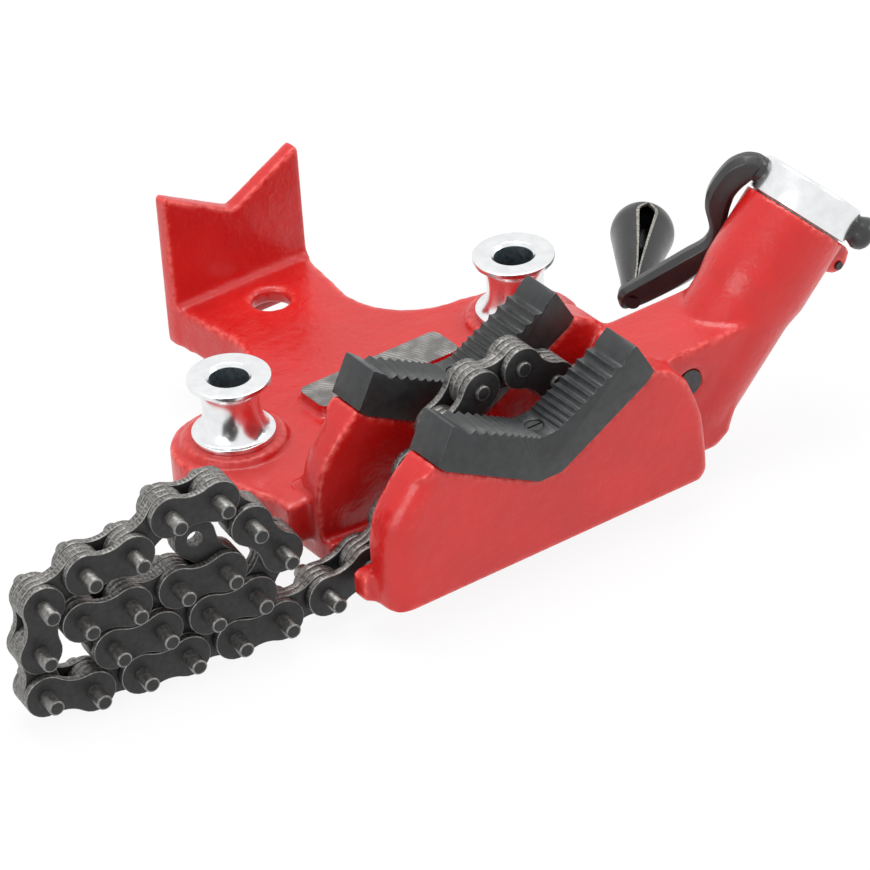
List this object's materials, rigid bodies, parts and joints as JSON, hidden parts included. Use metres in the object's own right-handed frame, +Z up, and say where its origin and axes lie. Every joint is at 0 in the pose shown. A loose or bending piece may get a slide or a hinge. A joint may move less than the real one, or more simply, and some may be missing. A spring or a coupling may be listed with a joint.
{
  "type": "chain pipe vise",
  "caption": "Bench chain pipe vise: red casting with toothed V jaws, rear pipe rest, bending spools, leaf chain on a screw pulled by a nut with a swinging crank.",
  "frame": {"origin": "middle of the bench face between the two spools, on the line through their bolt holes", "axes": "+Z up from the bench; +X along the jaws towards the screw housing; -Y towards the front walls, which hang over the bench's edge"},
  "size_m": [0.3727, 0.2051, 0.1105],
  "materials": {
    "casting": "gloss red enamel over a cast surface",
    "jaw": "black oxide",
    "jaw_screw": "black oxide",
    "zinc": "bright zinc plate",
    "pin_steel": "bare turned steel",
    "crank": "gloss black over a forging",
    "grip": "semi-gloss black on rolled sheet",
    "chain": "oiled dark steel, sheared edges lighter"
  },
  "bodies": {
    "base": {"base_casting": "casting", "front_jaw": "jaw", "rear_jaw": "jaw", "jaw_screws": "jaw_screw", "left_spool": "zinc", "right_spool": "zinc", "guide_pin": "pin_steel", "thrust_washer": "zinc", "keeper": "jaw", "keeper_pin": "pin_steel"},
    "nut": {"nut_collar": "zinc"},
    "screw": {"chain_screw": "pin_steel", "screw_pin": "pin_steel"},
    "crank": {"crank_handle": "crank", "grip_rivet": "pin_steel"},
    "grip": {"grip": "grip"},
    "link_01": {"link_01": "chain"},
    "link_02": {"link_02": "chain"},
    "link_03": {"link_03": "chain"},
    "link_04": {"link_04": "chain"},
    "link_05": {"link_05": "chain"},
    "link_06": {"link_06": "chain"},
    "link_07": {"link_07": "chain"},
    "link_08": {"link_08": "chain"},
    "link_09": {"link_09": "chain"},
    "link_10": {"link_10": "chain"},
    "link_11": {"link_11": "chain"},
    "link_12": {"link_12": "chain"},
    "link_13": {"link_13": "chain"},
    "link_14": {"link_14": "chain"},
    "link_15": {"link_15": "chain"},
    "link_16": {"link_16": "chain"},
    "link_17": {"link_17": "chain"},
    "link_18": {"link_18": "chain"},
    "link_19": {"link_19": "chain"},
    "link_20": {"link_20": "chain"},
    "link_21": {"link_21": "chain"},
    "link_22": {"link_22": "chain"},
    "link_23": {"link_23": "chain"},
    "link_24": {"link_24": "chain"},
    "link_25": {"link_25": "chain"},
    "link_26": {"link_26": "chain"},
    "link_27": {"link_27": "chain"},
    "link_28": {"link_28": "chain"},
    "link_29": {"link_29": "chain"},
    "link_30": {"link_30": "chain"},
    "link_31": {"link_31": "chain"},
    "link_32": {"link_32": "chain"},
    "link_33": {"link_33": "chain"},
    "link_34": {"link_34": "chain"},
    "link_35": {"link_35": "chain"}
  },
  "joints": [
    {"name": "nut_turn", "type": "hinge", "parent": "base", "child": "nut", "pos_m": [0.15156, -0.07155, 0.06826], "axis": [0.7071, 0, 0.7071], "range_deg": [-85, 175]},
    {"name": "screw_travel", "type": "slide", "parent": "base", "child": "screw", "axis": [0.7071, 0, 0.7071], "range_m": [-0.00155, 0.00075]},
    {"name": "crank_swing", "type": "hinge", "parent": "nut", "child": "crank", "pos_m": [0.15156, -0.07155, 0.06826], "axis": [-0.5985, 0.5325, 0.5985], "range_deg": [-150, 0]},
    {"name": "grip_spin", "type": "hinge", "parent": "crank", "child": "grip", "pos_m": [0.10119, -0.02704, 0.02474], "axis": [0.6634, 0.7483, -0.0024], "continuous": true},
    {"name": "chain_01", "type": "hinge", "parent": "screw", "child": "link_01", "pos_m": [0.10553, -0.07155, 0.02223], "axis": [0, -1, 0], "range_deg": [-2, 2]},
    {"name": "chain_02", "type": "hinge", "parent": "link_01", "child": "link_02", "pos_m": [0.09206, -0.07155, 0.00876], "axis": [0, -1, 0], "range_deg": [-2, 2]},
    {"name": "chain_03", "type": "hinge", "parent": "link_02", "child": "link_03", "pos_m": [0.0732, -0.07155, 0.00611], "axis": [0, -1, 0], "range_deg": [-2, 2]},
    {"name": "chain_04", "type": "hinge", "parent": "link_03", "child": "link_04", "pos_m": [0.05653, -0.07155, 0.01535], "axis": [0, -1, 0], "range_deg": [-2, 2]},
    {"name": "chain_05", "type": "hinge", "parent": "link_04", "child": "link_05", "pos_m": [0.04249, -0.07155, 0.02822], "axis": [0, -1, 0], "range_deg": [-4, 2]},
    {"name": "chain_06", "type": "hinge", "parent": "link_05", "child": "link_06", "pos_m": [0.02822, -0.07155, 0.04084], "axis": [0, -1, 0], "range_deg": [-12, 2]},
    {"name": "chain_07", "type": "hinge", "parent": "link_06", "child": "link_07", "pos_m": [0.01342, -0.07155, 0.05283], "axis": [0, -1, 0], "range_deg": [-12, 2]},
    {"name": "chain_08", "type": "hinge", "parent": "link_07", "child": "link_08", "pos_m": [-0.00549, -0.07155, 0.05051], "axis": [0, -1, 0], "range_deg": [-12, 2]},
    {"name": "chain_09", "type": "hinge", "parent": "link_08", "child": "link_09", "pos_m": [-0.01987, -0.07155, 0.03801], "axis": [0, -1, 0], "range_deg": [-12, 3]},
    {"name": "chain_10", "type": "hinge", "parent": "link_09", "child": "link_10", "pos_m": [-0.0316, -0.07155, 0.023], "axis": [0, -1, 0], "range_deg": [-12, 3]},
    {"name": "chain_11", "type": "hinge", "parent": "link_10", "child": "link_11", "pos_m": [-0.04332, -0.07155, 0.00798], "axis": [-0.0175, -0.9998, 0], "range_deg": [-12, 4]},
    {"name": "chain_12", "type": "hinge", "parent": "link_11", "child": "link_12", "pos_m": [-0.05892, -0.07101, -0.00294], "axis": [-0.0523, -0.9986, 0], "range_deg": [-12, 6]},
    {"name": "chain_13", "type": "hinge", "parent": "link_12", "child": "link_13", "pos_m": [-0.07709, -0.06973, -0.00851], "axis": [-0.0872, -0.9962, 0], "range_deg": [-15, 15]},
    {"name": "chain_14", "type": "hinge", "parent": "link_13", "child": "link_14", "pos_m": [-0.09575, -0.06777, -0.01182], "axis": [-0.1219, -0.9925, 0], "range_deg": [-12, 15]},
    {"name": "chain_15", "type": "hinge", "parent": "link_14", "child": "link_15", "pos_m": [-0.11458, -0.06513, -0.01298], "axis": [-0.1392, -0.9903, 0], "range_deg": [0, 12]},
    {"name": "chain_16", "type": "hinge", "parent": "link_15", "child": "link_16", "pos_m": [-0.13344, -0.06248, -0.01332], "axis": [-0.1392, -0.9903, 0], "range_deg": [0, 12]},
    {"name": "chain_17", "type": "hinge", "parent": "link_16", "child": "link_17", "pos_m": [-0.1523, -0.05983, -0.01381], "axis": [-0.1392, -0.9903, 0], "range_deg": [0, 12]},
    {"name": "chain_18", "type": "hinge", "parent": "link_17", "child": "link_18", "pos_m": [-0.17116, -0.05718, -0.01431], "axis": [-0.1392, -0.9903, 0], "range_deg": [0, 15.55]},
    {"name": "chain_19", "type": "hinge", "parent": "link_18", "child": "link_19", "pos_m": [-0.18946, -0.0546, -0.0097], "axis": [-0.1392, -0.9903, 0], "range_deg": [0, 75]},
    {"name": "chain_20", "type": "hinge", "parent": "link_19", "child": "link_20", "pos_m": [-0.18979, -0.05456, 0.00934], "axis": [-0.1392, -0.9903, 0], "range_deg": [0, 10.05]},
    {"name": "chain_21", "type": "hinge", "parent": "link_20", "child": "link_21", "pos_m": [-0.18684, -0.05497, 0.02816], "axis": [-0.1392, -0.9903, 0], "range_deg": [0, 57.55]},
    {"name": "chain_22", "type": "hinge", "parent": "link_21", "child": "link_22", "pos_m": [-0.16954, -0.0574, 0.03575], "axis": [-0.1392, -0.9903, 0], "range_deg": [0, 20.05]},
    {"name": "chain_23", "type": "hinge", "parent": "link_22", "child": "link_23", "pos_m": [-0.15071, -0.06005, 0.03692], "axis": [-0.1392, -0.9903, 0], "range_deg": [-31.05, 0]},
    {"name": "chain_24", "type": "hinge", "parent": "link_23", "child": "link_24", "pos_m": [-0.13516, -0.06223, 0.04771], "axis": [-0.1392, -0.9903, 0], "range_deg": [0, 23.85]},
    {"name": "chain_25", "type": "hinge", "parent": "link_24", "child": "link_25", "pos_m": [-0.1163, -0.06489, 0.04787], "axis": [-0.1392, -0.9903, 0], "range_deg": [0, 4.25]},
    {"name": "chain_26", "type": "hinge", "parent": "link_25", "child": "link_26", "pos_m": [-0.10456, -0.06654, 0.03296], "axis": [-0.1392, -0.9903, 0], "range_deg": [0, 2.15]},
    {"name": "chain_27", "type": "hinge", "parent": "link_26", "child": "link_27", "pos_m": [-0.0936, -0.06808, 0.01746], "axis": [-0.1392, -0.9903, 0], "range_deg": [0, 51.45]},
    {"name": "chain_28", "type": "hinge", "parent": "link_27", "child": "link_28", "pos_m": [-0.10522, -0.06644, 0.00244], "axis": [-0.1392, -0.9903, 0], "range_deg": [-5.05, 0]},
    {"name": "chain_29", "type": "hinge", "parent": "link_28", "child": "link_29", "pos_m": [-0.12406, -0.06379, 0.00161], "axis": [-0.1392, -0.9903, 0], "range_deg": [0, 1.05]},
    {"name": "chain_30", "type": "hinge", "parent": "link_29", "child": "link_30", "pos_m": [-0.14293, -0.06114, 0.00128], "axis": [-0.1392, -0.9903, 0], "range_deg": [-2.05, 0]},
    {"name": "chain_31", "type": "hinge", "parent": "link_30", "child": "link_31", "pos_m": [-0.16178, -0.05849, 0.00078], "axis": [-0.1392, -0.9903, 0], "range_deg": [0, 8.55]},
    {"name": "chain_32", "type": "hinge", "parent": "link_31", "child": "link_32", "pos_m": [-0.17247, -0.05699, 0.01648], "axis": [-0.1392, -0.9903, 0], "range_deg": [0, 18.85]},
    {"name": "chain_33", "type": "hinge", "parent": "link_32", "child": "link_33", "pos_m": [-0.15361, -0.05964, 0.01615], "axis": [-0.1392, -0.9903, 0], "range_deg": [-3.55, 0]},
    {"name": "chain_34", "type": "hinge", "parent": "link_33", "child": "link_34", "pos_m": [-0.13476, -0.06229, 0.01698], "axis": [-0.1392, -0.9903, 0], "range_deg": [0, 2.05]},
    {"name": "chain_35", "type": "hinge", "parent": "link_34", "child": "link_35", "pos_m": [-0.1159, -0.06494, 0.01715], "axis": [-0.1392, -0.9903, 0], "range_deg": [0, 5]}
  ],
  "couplings": [
    {"joint": "screw_travel", "follows": "nut_turn", "m_per_rad": -0.00050532},
    {"joint": "chain_18", "follows": "chain_19", "ratio": 0.20667},
    {"joint": "chain_20", "follows": "chain_19", "ratio": 0.13333},
    {"joint": "chain_21", "follows": "chain_19", "ratio": 0.76667},
    {"joint": "chain_22", "follows": "chain_19", "ratio": 0.26667},
    {"joint": "chain_23", "follows": "chain_19", "ratio": -0.41333},
    {"joint": "chain_24", "follows": "chain_19", "ratio": 0.31733},
    {"joint": "chain_25", "follows": "chain_19", "ratio": 0.056},
    {"joint": "chain_26", "follows": "chain_19", "ratio": 0.028},
    {"joint": "chain_27", "follows": "chain_19", "ratio": 0.68533},
    {"joint": "chain_28", "follows": "chain_19", "ratio": -0.066667},
    {"joint": "chain_29", "follows": "chain_19", "ratio": 0.013333},
    {"joint": "chain_30", "follows": "chain_19", "ratio": -0.026667},
    {"joint": "chain_31", "follows": "chain_19", "ratio": 0.11333},
    {"joint": "chain_32", "follows": "chain_19", "ratio": 0.25067},
    {"joint": "chain_33", "follows": "chain_19", "ratio": -0.046667},
    {"joint": "chain_34", "follows": "chain_19", "ratio": 0.026667}
  ]
}
